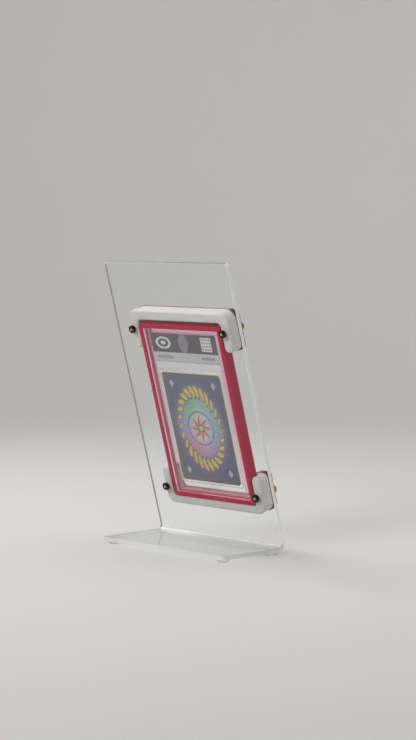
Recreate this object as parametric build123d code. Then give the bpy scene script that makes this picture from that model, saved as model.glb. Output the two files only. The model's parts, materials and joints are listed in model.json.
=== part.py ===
from build123d import *
import math
import os

# Slant-back display stand for one graded trading card, in millimetres.
# +Z is up, the display faces -Y, and the base runs back along +Y under the leaning panel.
# Pieces on the panel are drawn in the panel's own frame and then leaned back with it:
#   x  across the panel, 0 at its middle
#   y  up along the panel, 0 at the inner corner of the bend
#   z  out of the panel's front face, 0 on its back face

# ---------------------------------------------------------------- driving dimensions

# Clear stand: one sheet, bent once
panel_width = 132.6
panel_length = 221.0
base_depth = 63.0
sheet_thickness = 3.0
lean_back_deg = 16.0
bend_inner_radius = 3.5
panel_corner_radius = 3.5
base_corner_radius = 2.5

# Air gap left between a clear piece and whatever lies on it
hairline_gap = 0.05

# Bumper feet
foot_diameter = 9.0
foot_face_diameter = 6.0
foot_height = 2.4
foot_side_taper = 0.25
foot_waist_height = 1.1
foot_edge_inset = 6.5
front_foot_setback = 8.5

# Trading card and its paper label
card_width = 63.0
card_height = 88.0
card_thickness = 0.32
card_corner_radius = 3.2
label_side_overhang = 3.5
label_height = 22.5
label_thickness = 0.3
label_corner_radius = 0.8

# Inner well that frames the card
well_border = 1.6
well_thickness = 1.0
well_corner_radius = 2.0
paper_play = 0.3

# Clear card holder (slab), made of two equal shells
slab_side_margin = 9.8
slab_thickness = 5.4
slab_corner_radius = 2.2
slab_rim_width = 4.6
slab_rim_height = 0.5
slab_edge_round = 0.5
card_above_slab_foot = 11.5
label_above_card = 9.0
label_below_slab_top = 5.0
recess_play = 0.15

# Soft bumper frame round the slab
bumper_wall = 3.0
bumper_lip_reach = 0.9
bumper_back_lip_thickness = 0.9
bumper_front_lip_thickness = 2.2
bumper_corner_radius = 3.8
bumper_edge_round = 0.7
groove_play = 0.1

# U-shaped brackets that hold the bumper on the panel
bracket_leg_width = 8.3
lower_rail_height = 6.6
upper_rail_height = 8.3
lower_leg_reach = 23.7
upper_leg_reach = 22.5
bracket_lip_thickness = 1.2
rail_lip_reach = 5.0
leg_lip_reach = 3.5
pocket_corner_radius = 3.2
bracket_corner_radius = 8.0
leg_end_radius = 4.0
bracket_edge_round = 2.0
leg_side_play = 0.5
pocket_depth_play = 0.15
bumper_lift_play = 2.3
lower_bracket_foot = 23.2
screw_from_rail_edge = 14.8

# Trim plates on the brackets' fronts
trim_thickness = 3.5
trim_leg_overhang = 0.8
trim_corner_radius = 5.8
trim_leg_end_radius = 3.2
trim_edge_break = 0.3

# M3 screws and nuts
screw_diameter = 3.0
screw_head_diameter = 6.0
screw_head_height = 3.4
screw_head_round = 0.8
screw_end_proud = 0.4
screw_end_chamfer = 0.35
hex_socket_across_flats = 2.5
hex_socket_depth = 1.8
nut_across_flats = 5.5
nut_thickness = 2.4
nut_corner_chamfer = 0.35
clearance_hole_play = 0.1
nut_bore_play = 0.05

# ---------------------------------------------------------------- sizes that follow

base_top = foot_height + sheet_thickness
panel_seat = sheet_thickness + hairline_gap

label_width = card_width + 2 * label_side_overhang
slab_width = card_width + 2 * slab_side_margin
label_above_slab_foot = card_above_slab_foot + card_height + label_above_card
slab_height = label_above_slab_foot + label_height + label_below_slab_top

bumper_width = slab_width + 2 * bumper_wall
bumper_height = slab_height + 2 * bumper_wall
groove_thickness = slab_thickness + 2 * hairline_gap
bumper_thickness = bumper_back_lip_thickness + groove_thickness + bumper_front_lip_thickness
bumper_foot = lower_bracket_foot + lower_rail_height
bumper_top = bumper_foot + bumper_height
slab_foot = bumper_foot + bumper_wall
groove_back = panel_seat + bumper_back_lip_thickness
slab_back = groove_back + hairline_gap
slab_middle = slab_back + slab_thickness / 2
slab_front = slab_back + slab_thickness

pocket_half_width = bumper_width / 2 + leg_side_play
pocket_depth = bumper_thickness + pocket_depth_play
bracket_half_width = pocket_half_width + bracket_leg_width
bracket_front = panel_seat + pocket_depth + bracket_lip_thickness
upper_bracket_top = bumper_top + bumper_lift_play + upper_rail_height
trim_front = bracket_front + trim_thickness
holder_rest_x = leg_side_play - hairline_gap

screw_x = bracket_half_width - bracket_leg_width / 2
lower_screw_y = lower_bracket_foot + screw_from_rail_edge
upper_screw_y = upper_bracket_top - screw_from_rail_edge
hole_radius = screw_diameter / 2 + clearance_hole_play
nut_outside = -hairline_gap - nut_thickness
screw_end = nut_outside - screw_end_proud

card_foot = slab_foot + card_above_slab_foot
card_middle = card_foot + card_height / 2
label_middle = slab_foot + label_above_slab_foot + label_height / 2
half_hollow = well_thickness / 2 + hairline_gap
paper_back = slab_middle - well_thickness / 2

lean = math.radians(lean_back_deg)
panel_plane = Plane(
    origin=(0, 0, base_top),
    x_dir=(1, 0, 0),
    z_dir=(0, -math.cos(lean), math.sin(lean)),
)


# ---------------------------------------------------------------- helpers

def rounded_slab(width, height, thickness, radius, middle_y, back_z):
    """A flat plate with rounded corners, lying parallel to the panel."""
    outline = RectangleRounded(width, height, radius)
    return Pos(0, middle_y, back_z) * extrude(outline, thickness)


def disc(x, y, radius, low_z, high_z):
    """A round bar standing square to the panel."""
    middle_z = (low_z + high_z) / 2
    return Pos(x, y, middle_z) * Cylinder(radius, high_z - low_z)


def edges_at_z(shape, height):
    """The edges that lie wholly at one height."""
    return shape.edges().filter_by_position(Axis.Z, height - 1e-3, height + 1e-3)


def screw_places():
    """Name and place of each screw: left and right as seen from the front."""
    places = {}
    for level, y in (("upper", upper_screw_y), ("lower", lower_screw_y)):
        for side, x in (("left", -screw_x), ("right", screw_x)):
            places[f"{level}_{side}"] = (x, y)
    return places


# ---------------------------------------------------------------- stand and feet

def make_stand():
    """The bent sheet: base, bend and leaning panel, with four screw holes."""
    panel_tip_y = panel_length * math.sin(lean)
    panel_tip_z = base_top + panel_length * math.cos(lean)
    inner_line = FilletPolyline(
        (base_depth, base_top),
        (0, base_top),
        (panel_tip_y, panel_tip_z),
        radius=bend_inner_radius,
    )
    # The bend's outside is struck from the same centre as its inside.
    half_angle = (math.pi / 2 - lean) / 2
    outer_corner_y = -sheet_thickness / math.tan(half_angle)
    outer_line = FilletPolyline(
        (base_depth, base_top - sheet_thickness),
        (outer_corner_y, base_top - sheet_thickness),
        (panel_tip_y - sheet_thickness * math.cos(lean),
         panel_tip_z + sheet_thickness * math.sin(lean)),
        radius=bend_inner_radius + sheet_thickness,
    )
    base_end = Line(inner_line @ 0, outer_line @ 0)
    panel_end = Line(inner_line @ 1, outer_line @ 1)
    section = make_face([inner_line, panel_end, outer_line, base_end])
    side_view = Plane(origin=(0, 0, 0), x_dir=(0, 1, 0), z_dir=(1, 0, 0))
    sheet = extrude(side_view * section, panel_width / 2, both=True)

    upright_edges = sheet.edges().filter_by(Axis.Z)
    base_corners = upright_edges.filter_by_position(Axis.Y, base_depth - 0.01, base_depth + 0.01)
    sheet = fillet(base_corners, base_corner_radius)
    through_sheet = Axis((0, 0, 0), panel_plane.z_dir)
    tip_corners = sheet.edges().filter_by(through_sheet).sort_by(Axis.Z)[-2:]
    sheet = fillet(tip_corners, panel_corner_radius)

    for x, y in screw_places().values():
        hole = disc(x, y, hole_radius, -sheet_thickness, 2 * sheet_thickness)
        sheet -= panel_plane.location * hole
    return sheet


def make_foot(x, y):
    """A clear bumper foot: a short dome cut flat where it meets the table."""
    foot_top = foot_height - hairline_gap
    side = Spline(
        (foot_diameter / 2, foot_top),
        (foot_diameter / 2 - foot_side_taper, foot_waist_height),
        (foot_face_diameter / 2, 0),
        tangents=[(0, -1), (-1, 0)],
    )
    profile = make_face([
        Line((0, 0), (0, foot_top)),
        Line((0, foot_top), (foot_diameter / 2, foot_top)),
        side,
        Line((foot_face_diameter / 2, 0), (0, 0)),
    ])
    return Pos(x, y, 0) * revolve(Plane.XZ * profile, Axis.Z)


def make_feet():
    """Four feet, one near each corner of the base."""
    feet_x = panel_width / 2 - foot_edge_inset
    rear_y = base_depth - foot_edge_inset
    feet = {}
    for row, y in (("front", front_foot_setback), ("rear", rear_y)):
        for side, x in (("left", -feet_x), ("right", feet_x)):
            feet[f"foot_{row}_{side}"] = make_foot(x, y)
    return feet


# ---------------------------------------------------------------- card holder

def label_and_card_space(thickness, back_z):
    """The hollow that the label, the well and the card lie in."""
    card_well_space = rounded_slab(
        card_width + 2 * (paper_play + well_border + recess_play),
        card_height + 2 * (paper_play + well_border + recess_play),
        thickness,
        well_corner_radius + recess_play,
        card_middle,
        back_z,
    )
    label_space = rounded_slab(
        label_width + 2 * paper_play,
        label_height + 2 * paper_play,
        thickness,
        label_corner_radius + paper_play,
        label_middle,
        back_z,
    )
    return card_well_space + label_space


def make_shell(faces_front):
    """One clear half of the slab: a raised rim outside and half the hollow inside."""
    half = (slab_thickness - hairline_gap) / 2
    back_z = slab_front - half if faces_front else slab_back
    slab_y = slab_foot + slab_height / 2
    shell = rounded_slab(slab_width, slab_height, half, slab_corner_radius, slab_y, back_z)

    outside_z = slab_front if faces_front else slab_back
    shell = fillet(edges_at_z(shell, outside_z), slab_edge_round)
    window_back = slab_front - slab_rim_height if faces_front else slab_back
    window = rounded_slab(
        slab_width - 2 * slab_rim_width,
        slab_height - 2 * slab_rim_width,
        slab_rim_height,
        slab_corner_radius,
        slab_y,
        window_back,
    )
    shell -= window

    hollow_back = slab_middle if faces_front else slab_middle - half_hollow
    shell -= label_and_card_space(half_hollow, hollow_back)
    return shell


def make_card_well():
    """The thin clear frame that centres the card in the slab."""
    opening_width = card_width + 2 * paper_play
    opening_height = card_height + 2 * paper_play
    frame = rounded_slab(
        opening_width + 2 * well_border,
        opening_height + 2 * well_border,
        well_thickness,
        well_corner_radius,
        card_middle,
        paper_back,
    )
    opening = rounded_slab(
        opening_width, opening_height, well_thickness,
        card_corner_radius, card_middle, paper_back,
    )
    return frame - opening


def make_card():
    """The trading card, lying on the back shell's floor."""
    return rounded_slab(
        card_width, card_height, card_thickness,
        card_corner_radius, card_middle, paper_back,
    )


def make_label():
    """The paper label above the card."""
    return rounded_slab(
        label_width, label_height, label_thickness,
        label_corner_radius, label_middle, paper_back,
    )


def make_bumper():
    """The soft frame: a ring with a groove for the slab and a lip on each face."""
    middle_y = bumper_foot + bumper_height / 2
    ring = rounded_slab(
        bumper_width, bumper_height, bumper_thickness,
        bumper_corner_radius, middle_y, panel_seat,
    )
    for outside_z in (panel_seat, panel_seat + bumper_thickness):
        ring = fillet(edges_at_z(ring, outside_z), bumper_edge_round)
    opening = rounded_slab(
        slab_width - 2 * bumper_lip_reach,
        slab_height - 2 * bumper_lip_reach,
        bumper_thickness,
        slab_corner_radius - bumper_lip_reach,
        middle_y,
        panel_seat,
    )
    groove = rounded_slab(
        slab_width + 2 * groove_play,
        slab_height + 2 * groove_play,
        groove_thickness,
        slab_corner_radius + groove_play,
        middle_y,
        groove_back,
    )
    return ring - opening - groove


# ---------------------------------------------------------------- brackets and trim

def u_outline(half_width, height, rail, leg, corner, inner_corner, leg_end):
    """A U that opens upward, its rail's outer edge at y = 0."""
    outer = Pos(0, height / 2) * Rectangle(2 * half_width, height)
    outer = fillet(outer.vertices().group_by(Axis.Y)[0], corner)
    inner_height = height - rail
    inner = Pos(0, rail + inner_height / 2) * Rectangle(2 * (half_width - leg), inner_height)
    inner = fillet(inner.vertices().group_by(Axis.Y)[0], inner_corner)
    outline = outer - inner
    # Two end rounds share one leg, so together they stay narrower than it.
    return fillet(outline.vertices().group_by(Axis.Y)[-1], min(leg_end, 0.49 * leg))


def make_bracket(rail_height, leg_reach):
    """A U with a pocket for the bumper and a lip across its front."""
    height = rail_height + leg_reach
    pocket_u = u_outline(
        bracket_half_width, height, rail_height, bracket_leg_width,
        bracket_corner_radius, pocket_corner_radius, leg_end_radius,
    )
    lip_u = u_outline(
        bracket_half_width, height,
        rail_height + rail_lip_reach, bracket_leg_width + leg_lip_reach,
        bracket_corner_radius, pocket_corner_radius, leg_end_radius,
    )
    walls = extrude(pocket_u, pocket_depth)
    lip = Pos(0, 0, pocket_depth) * extrude(lip_u, bracket_lip_thickness)
    outer_edges = edges_at_z(walls, 0)
    for keep_sharp in pocket_edges(outer_edges, rail_height):
        outer_edges.remove(keep_sharp)
    walls = fillet(outer_edges, bracket_edge_round)
    body = Pos(0, 0, panel_seat) * (walls + lip)
    for x in (-screw_x, screw_x):
        body -= disc(x, screw_from_rail_edge, hole_radius, panel_seat, bracket_front)
    return body


def pocket_edges(edges, rail_height):
    """Those edges of a U that face its inside."""
    inside = []
    for edge in edges:
        middle = edge @ 0.5
        clear_of_legs = abs(middle.X) < pocket_half_width + 0.01
        if clear_of_legs and middle.Y > rail_height - 0.01:
            inside.append(edge)
    return inside


def make_trim(rail_height, leg_reach):
    """Trim plate: the same U as its bracket's front, with sharper corners."""
    outline = u_outline(
        bracket_half_width, rail_height + leg_reach + trim_leg_overhang,
        rail_height + rail_lip_reach, bracket_leg_width + leg_lip_reach,
        trim_corner_radius, pocket_corner_radius, trim_leg_end_radius,
    )
    plate = extrude(outline, trim_thickness)
    plate = chamfer(edges_at_z(plate, trim_thickness), trim_edge_break)
    plate = Pos(0, 0, bracket_front) * plate
    for x in (-screw_x, screw_x):
        plate -= disc(x, screw_from_rail_edge, hole_radius, bracket_front, trim_front)
    return plate


def stood_up(piece):
    """A clamp piece in the lower clamp's place, its legs upward."""
    return Pos(0, lower_bracket_foot, 0) * piece


def hung_down(piece):
    """A clamp piece in the upper clamp's place, its legs downward."""
    return Pos(0, upper_bracket_top, 0) * mirror(piece, Plane.XZ)


# ---------------------------------------------------------------- fasteners

def make_screw(x, y):
    """Gold M3 screw: round head on the trim plate, end just past the nut."""
    shank = disc(0, 0, screw_diameter / 2, screw_end, trim_front)
    shank = chamfer(edges_at_z(shank, screw_end), screw_end_chamfer)
    head_top = trim_front + screw_head_height
    head = disc(0, 0, screw_head_diameter / 2, trim_front, head_top)
    head = fillet(edges_at_z(head, head_top), screw_head_round)
    socket_radius = hex_socket_across_flats / math.sqrt(3)
    socket_floor = head_top - hex_socket_depth
    socket = extrude(RegularPolygon(socket_radius, 6), hex_socket_depth)
    head -= Pos(0, 0, socket_floor) * socket
    return Pos(x, y, 0) * (shank + head)


def make_nut(x, y):
    """Black M3 hexagon nut on the panel's back face."""
    corner_radius = nut_across_flats / math.sqrt(3)
    blank = extrude(RegularPolygon(corner_radius, 6), nut_thickness)
    cone_bar = Pos(0, 0, nut_thickness / 2) * Cylinder(corner_radius, nut_thickness)
    cone_bar = chamfer(cone_bar.edges().filter_by(GeomType.CIRCLE), nut_corner_chamfer)
    nut = blank & cone_bar
    bore = Pos(0, 0, nut_thickness / 2) * Cylinder(screw_diameter / 2 + nut_bore_play, 2 * nut_thickness)
    return Pos(x, y, nut_outside) * (nut - bore)


# ---------------------------------------------------------------- assembly

def leaned_pieces():
    """Every piece that sits on the panel, in the panel's frame."""
    pieces = {
        "lower_bracket": stood_up(make_bracket(lower_rail_height, lower_leg_reach)),
        "lower_trim_plate": stood_up(make_trim(lower_rail_height, lower_leg_reach)),
        "upper_bracket": hung_down(make_bracket(upper_rail_height, upper_leg_reach)),
        "upper_trim_plate": hung_down(make_trim(upper_rail_height, upper_leg_reach)),
    }
    # The card holder has slid against the clamps' right legs.
    held = {
        "slab_bumper": make_bumper(),
        "slab_back_shell": make_shell(faces_front=False),
        "slab_front_shell": make_shell(faces_front=True),
        "card_well": make_card_well(),
        "card": make_card(),
        "label": make_label(),
    }
    for name, piece in held.items():
        pieces[name] = Pos(holder_rest_x, 0, 0) * piece
    for name, (x, y) in screw_places().items():
        pieces[f"{name}_screw"] = make_screw(x, y)
        pieces[f"{name}_nut"] = make_nut(x, y)
    return pieces


def assemble():
    """All pieces in the row's frame: origin under the middle of the whole object."""
    pieces = {"acrylic_stand": make_stand()}
    pieces.update(make_feet())
    for name, piece in leaned_pieces().items():
        pieces[name] = panel_plane.location * piece
    low_y = min(piece.bounding_box().min.Y for piece in pieces.values())
    high_y = max(piece.bounding_box().max.Y for piece in pieces.values())
    middle_y = (low_y + high_y) / 2
    centred = {name: Pos(0, -middle_y, 0) * piece for name, piece in pieces.items()}
    return centred, middle_y


def main():
    os.makedirs("parts", exist_ok=True)
    pieces, bend_behind_origin = assemble()
    for name, piece in pieces.items():
        export_step(piece, f"parts/{name}.step")
    print("inner corner of the bend at y =", round(-bend_behind_origin, 4))
    for name, (x, y) in screw_places().items():
        print(name, "screw axis at x, y on the panel:", round(x, 3), round(y, 3))


main()
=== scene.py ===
"""Looks of a slant-back display stand that holds one graded trading card.

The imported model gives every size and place. This file dresses its nodes, stands finer surfaces
in for the fasteners, the soft bumper and the clear pieces, and sets a plain studio round them.
"""
from __future__ import annotations

import json
import logging
import math
from dataclasses import dataclass, field
from enum import Enum
from typing import Any, Iterable

import bmesh
import bpy
import numpy as np
from mathutils import Matrix, Vector

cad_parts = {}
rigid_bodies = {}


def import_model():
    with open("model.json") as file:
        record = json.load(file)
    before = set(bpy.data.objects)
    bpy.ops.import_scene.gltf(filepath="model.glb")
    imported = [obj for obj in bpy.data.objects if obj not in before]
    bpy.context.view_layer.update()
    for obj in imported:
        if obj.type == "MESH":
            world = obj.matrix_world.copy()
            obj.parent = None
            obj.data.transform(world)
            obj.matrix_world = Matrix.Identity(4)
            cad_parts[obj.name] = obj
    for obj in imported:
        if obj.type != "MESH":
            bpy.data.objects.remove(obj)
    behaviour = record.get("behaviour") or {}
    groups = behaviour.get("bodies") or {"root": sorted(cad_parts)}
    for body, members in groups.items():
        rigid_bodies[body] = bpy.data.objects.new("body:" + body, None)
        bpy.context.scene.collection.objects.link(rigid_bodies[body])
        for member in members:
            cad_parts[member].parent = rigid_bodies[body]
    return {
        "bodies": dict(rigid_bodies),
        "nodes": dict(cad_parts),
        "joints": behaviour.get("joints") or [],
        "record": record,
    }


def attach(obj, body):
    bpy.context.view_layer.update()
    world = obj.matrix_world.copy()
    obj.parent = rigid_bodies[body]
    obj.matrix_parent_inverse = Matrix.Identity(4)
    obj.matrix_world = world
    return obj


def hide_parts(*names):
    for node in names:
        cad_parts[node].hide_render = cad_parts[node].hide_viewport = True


LOG = logging.getLogger("display_stand")
MM = 0.001
TURN = 2.0 * math.pi
SHARP_DEG = 35.0
FLAT_DEG = 0.6
MERGE_REACH = 1e-6
ROUND_SEGMENTS = 2
Colour = tuple[float, float, float]


# ------------------------------------------------------------------ shader maths

class Mark:
    """A number that varies over a surface: one output socket, with Python's operators."""

    def __init__(self, graph: "Graph", socket: bpy.types.NodeSocket) -> None:
        """Wraps a socket of one graph."""
        self.graph = graph
        self.socket = socket

    def _math(self, operation: str, *others: "Mark | float") -> "Mark":
        """A Math node on this value and the others."""
        values = dict(enumerate((self, *others)))
        return self.graph.mark("ShaderNodeMath", {"operation": operation}, values)

    def _reflected(self, operation: str, other: float) -> "Mark":
        """A Math node with the plain number first."""
        return self.graph.mark("ShaderNodeMath", {"operation": operation}, {0: other, 1: self})

    def __add__(self, other: "Mark | float") -> "Mark":
        """Sum."""
        return self._math("ADD", other)

    def __radd__(self, other: float) -> "Mark":
        """Sum with a number first."""
        return self._math("ADD", other)

    def __sub__(self, other: "Mark | float") -> "Mark":
        """Difference."""
        return self._math("SUBTRACT", other)

    def __rsub__(self, other: float) -> "Mark":
        """Difference with a number first."""
        return self._reflected("SUBTRACT", other)

    def __mul__(self, other: "Mark | float") -> "Mark":
        """Product."""
        return self._math("MULTIPLY", other)

    def __rmul__(self, other: float) -> "Mark":
        """Product with a number first."""
        return self._math("MULTIPLY", other)

    def __truediv__(self, other: "Mark | float") -> "Mark":
        """Quotient."""
        return self._math("DIVIDE", other)

    def __abs__(self) -> "Mark":
        """Size without the sign."""
        return self._math("ABSOLUTE")

    def high(self, other: "Mark | float") -> "Mark":
        """The larger of two values."""
        return self._math("MAXIMUM", other)

    def low(self, other: "Mark | float") -> "Mark":
        """The smaller of two values."""
        return self._math("MINIMUM", other)

    def root(self) -> "Mark":
        """Square root."""
        return self._math("SQRT")

    def sine(self) -> "Mark":
        """Sine of an angle in radians."""
        return self._math("SINE")

    def share(self) -> "Mark":
        """What is left over past the last whole number."""
        return self._math("FRACT")

    def angle_over(self, across: "Mark") -> "Mark":
        """The angle in radians whose tangent is this value over the other."""
        return self._math("ARCTAN2", across)

    def rise(self, start: float, end: float) -> "Mark":
        """Climbs smoothly from 0 at start to 1 at end.

        Args:
            start: value where the climb begins.
            end: value where it is complete, which may be the smaller of the two.

        Returns:
            The climbed share, held between 0 and 1.
        """
        settings = {"interpolation_type": "SMOOTHSTEP"}
        sockets = {"Value": self, "From Min": start, "From Max": end}
        return self.graph.mark("ShaderNodeMapRange", settings, sockets)


class Graph:
    """The node tree of one material."""

    def __init__(self, name: str) -> None:
        """Makes an empty material.

        Args:
            name: the material's name.
        """
        self.material = bpy.data.materials.new(name)
        self.material.use_nodes = True
        self.tree = self.material.node_tree
        self.tree.nodes.clear()

    def node(self, kind: str, settings: dict[str, Any], sockets: dict[Any, Any]) -> bpy.types.Node:
        """Makes any node.

        Args:
            kind: the node's type name.
            settings: the node's own choices, set first.
            sockets: a value, a Mark or a socket for each input, by name or place.

        Returns:
            The new node.
        """
        node = self.tree.nodes.new(kind)
        for name, value in settings.items():
            if name == "stops":
                self._set_stops(node.color_ramp, value)
            else:
                setattr(node, name, value)
        for key, value in sockets.items():
            if isinstance(value, Mark):
                self.tree.links.new(value.socket, node.inputs[key])
            elif isinstance(value, bpy.types.NodeSocket):
                self.tree.links.new(value, node.inputs[key])
            else:
                node.inputs[key].default_value = value
        return node

    @staticmethod
    def _set_stops(ramp: bpy.types.ColorRamp, stops: list[tuple[float, Colour]]) -> None:
        """Gives a colour ramp its stops.

        Args:
            ramp: a new node's ramp.
            stops: each stop's place from 0 to 1, and its colour.
        """
        while len(ramp.elements) < len(stops):
            ramp.elements.new(1.0)
        for element, (place, colour) in zip(ramp.elements, stops):
            element.position = place
            element.color = (*colour, 1.0)

    def mark(self, kind: str, settings: dict[str, Any], sockets: dict[Any, Any], out: Any = 0) -> Mark:
        """Makes a node and wraps one of its outputs."""
        return Mark(self, self.node(kind, settings, sockets).outputs[out])

    def local_mm(self, lean: float, centre: np.ndarray) -> tuple[Mark, Mark, Mark]:
        """Coordinates in the leaning panel's directions.

        Args:
            lean: the angle that turns +Y up along the panel, in radians.
            centre: the point that becomes zero, in the row's frame in metres.

        Returns:
            Millimetres across, up along and out of the panel, from that centre.
        """
        sockets = {
            "Vector": self.object_place(),
            "Location": tuple(float(c) for c in centre),
            "Rotation": (lean, 0.0, 0.0),
            "Scale": (MM, MM, MM),
        }
        turned = self.node("ShaderNodeMapping", {"vector_type": "TEXTURE"}, sockets)
        split = self.node("ShaderNodeSeparateXYZ", {}, {0: turned.outputs[0]})
        return Mark(self, split.outputs[0]), Mark(self, split.outputs[1]), Mark(self, split.outputs[2])

    def object_place(self) -> bpy.types.NodeSocket:
        """The Object coordinate socket."""
        return self.node("ShaderNodeTexCoord", {}, {}).outputs["Object"]

    def noise(self, size: float, detail: float = 3.0, rough: float = 0.55) -> Mark:
        """Cloudy noise over the object.

        Args:
            size: how many metres across its features are, roughly.
            detail: how many finer layers it has.
            rough: how strong the finer layers are.

        Returns:
            The noise, from 0 to 1 with its middle near 0.5.
        """
        sockets = {
            "Vector": self.object_place(),
            "Scale": 1.0 / size,
            "Detail": detail,
            "Roughness": rough,
        }
        return self.mark("ShaderNodeTexNoise", {}, sockets)

    def mix(self, share: "Mark | float", under: Any, over: Any) -> bpy.types.NodeSocket:
        """One colour laid over another.

        Args:
            share: how much of the upper colour shows, from 0 to 1.
            under: the lower colour, plain or a socket.
            over: the upper colour, plain or a socket.

        Returns:
            The mixed colour's socket.
        """
        sockets = {0: share, 6: _rgba(under), 7: _rgba(over)}
        return self.node("ShaderNodeMix", {"data_type": "RGBA"}, sockets).outputs[2]

    def past_outline(self, over_x: Mark, over_y: Mark, corner: float) -> Mark:
        """How far a point lies outside a rounded corner, below zero inside.

        Args:
            over_x: millimetres past the side that the corner joins.
            over_y: millimetres past the end that it joins.
            corner: its radius in millimetres.

        Returns:
            The distance of the point past both sides, each moved in by the radius, less the radius.
        """
        x, y = over_x + corner, over_y + corner
        outer_x, outer_y = x.high(0.0), y.high(0.0)
        return (outer_x * outer_x + outer_y * outer_y).root() + x.high(y).low(0.0) - corner

    def bump(self, height: Mark, depth: float, strength: float = 1.0) -> bpy.types.NodeSocket:
        """A normal raised by height times depth, in metres."""
        sockets = {"Strength": strength, "Distance": depth, "Height": height}
        return self.node("ShaderNodeBump", {}, sockets).outputs[0]

    def surface(self, **values: Any) -> bpy.types.Node:
        """Makes a Principled shader.

        Args:
            **values: what a socket holds, under its name in lower case with underscores.

        Returns:
            The shader's node.
        """
        node = self.node("ShaderNodeBsdfPrincipled", {}, {})
        by_word = {s.name.lower().replace(" ", "_"): s for s in node.inputs}
        for word, value in values.items():
            socket = by_word[word]
            if isinstance(value, Mark):
                self.tree.links.new(value.socket, socket)
            elif isinstance(value, bpy.types.NodeSocket):
                self.tree.links.new(value, socket)
            elif socket.type == "RGBA":
                socket.default_value = _rgba(value)
            else:
                socket.default_value = value
        return node

    def finish(self, shader: bpy.types.Node) -> bpy.types.Material:
        """Ends the tree in its output and gives the material."""
        self.node("ShaderNodeOutputMaterial", {}, {"Surface": shader.outputs[0]})
        return self.material


def _rgba(colour: Any) -> Any:
    """Gives a plain colour its fourth number.

    Args:
        colour: three numbers, a socket or a Mark.

    Returns:
        Four numbers, or the socket or Mark as it is.
    """
    if isinstance(colour, (bpy.types.NodeSocket, Mark)):
        return colour
    return (*colour, 1.0)


# ------------------------------------------------------------------ the frame, measured

@dataclass(frozen=True)
class Panel:
    """The leaning panel's directions: across it, up along it and out of its front."""

    up: np.ndarray
    out: np.ndarray

    @classmethod
    def from_joints(cls, joints: list[dict[str, Any]]) -> "Panel":
        """Reads the directions from the slides that run along them."""
        axes = {joint["name"]: np.array(joint["axis"], float) for joint in joints}
        return cls(up=axes["card_holder_lift"], out=axes["upper_clamp_pull"])

    @property
    def basis(self) -> np.ndarray:
        """Rows are the three directions."""
        return np.stack([np.array([1.0, 0.0, 0.0]), self.up, self.out])

    @property
    def lean(self) -> float:
        """The angle in radians that turns +Y to the way up the panel."""
        return math.atan2(self.up[2], self.up[1])

    def place(self, local: np.ndarray) -> np.ndarray:
        """Turns points in panel directions to the row's frame."""
        return local @ self.basis

    def along(self, points: np.ndarray) -> np.ndarray:
        """Turns points in the row's frame to panel directions."""
        return points @ self.basis.T


@dataclass
class Frame:
    """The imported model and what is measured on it."""

    kit: dict[str, Any]
    panel: Panel = field(init=False)
    bodies: dict[str, str] = field(init=False)
    slots: dict[str, str] = field(init=False)

    def __post_init__(self) -> None:
        """Looks up each node's body and finish slot once."""
        record = self.kit["record"]
        groups = record["behaviour"]["bodies"]
        self.panel = Panel.from_joints(self.kit["joints"])
        self.bodies = {node: body for body, members in groups.items() for node in members}
        self.slots = {part["node"]: part["material_slot"] for part in record["subparts"]}

    def object(self, node: str) -> bpy.types.Object:
        """The CAD node's own object."""
        return self.kit["nodes"][node]

    def points(self, node: str) -> np.ndarray:
        """Reads a node's vertices.

        Args:
            node: the node's name.

        Returns:
            A row of x, y and z for each vertex, in the row's frame in metres.
        """
        mesh = self.object(node).data
        flat = np.zeros(len(mesh.vertices) * 3, np.float32)
        mesh.vertices.foreach_get("co", flat)
        return flat.reshape(-1, 3).astype(float)

    def reach(self, node: str) -> tuple[np.ndarray, np.ndarray]:
        """A node's lowest and highest corner in panel directions."""
        local = self.panel.along(self.points(node))
        return local.min(0), local.max(0)

    def middle(self, node: str) -> np.ndarray:
        """The middle of a node's box along the panel, in the row's frame."""
        low, high = self.reach(node)
        return self.panel.place((low + high) / 2)

    def stand_in(
        self, piece: bpy.types.Object, node: str, material: bpy.types.Material
    ) -> bpy.types.Object:
        """Puts a finer piece in a node's place, on its body, with its finish.

        Args:
            piece: the new object, in place in the row's frame.
            node: the node that it stands for.
            material: its finish.

        Returns:
            The piece.
        """
        piece.data.materials.clear()
        piece.data.materials.append(material)
        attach(piece, self.bodies[node])
        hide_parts(node)
        LOG.info("%s stands in for %s on %s", piece.name, node, self.bodies[node])
        return piece

    def dress(self, node: str, material: bpy.types.Material) -> None:
        """Gives a CAD node its finish, and smooth shading between its sharp edges.

        Args:
            node: the node's name.
            material: its finish.
        """
        mesh = self.object(node).data
        mesh.materials.clear()
        mesh.materials.append(material)
        smooth_between_edges(mesh, SHARP_DEG)
        LOG.info("%s dressed in %s", node, material.name)


# ------------------------------------------------------------------ surfaces

def smooth_between_edges(mesh: bpy.types.Mesh, sharp_deg: float) -> None:
    """Smooth shading that breaks at edges sharper than sharp_deg."""
    mesh.shade_smooth()
    mesh.set_sharp_from_angle(angle=math.radians(sharp_deg))


class Ends(Enum):
    """What happens to a grid's first and last row."""

    CAPPED = "each is closed to a point"
    JOINED = "they are joined to each other"
    OPEN = "they stay open"


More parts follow.
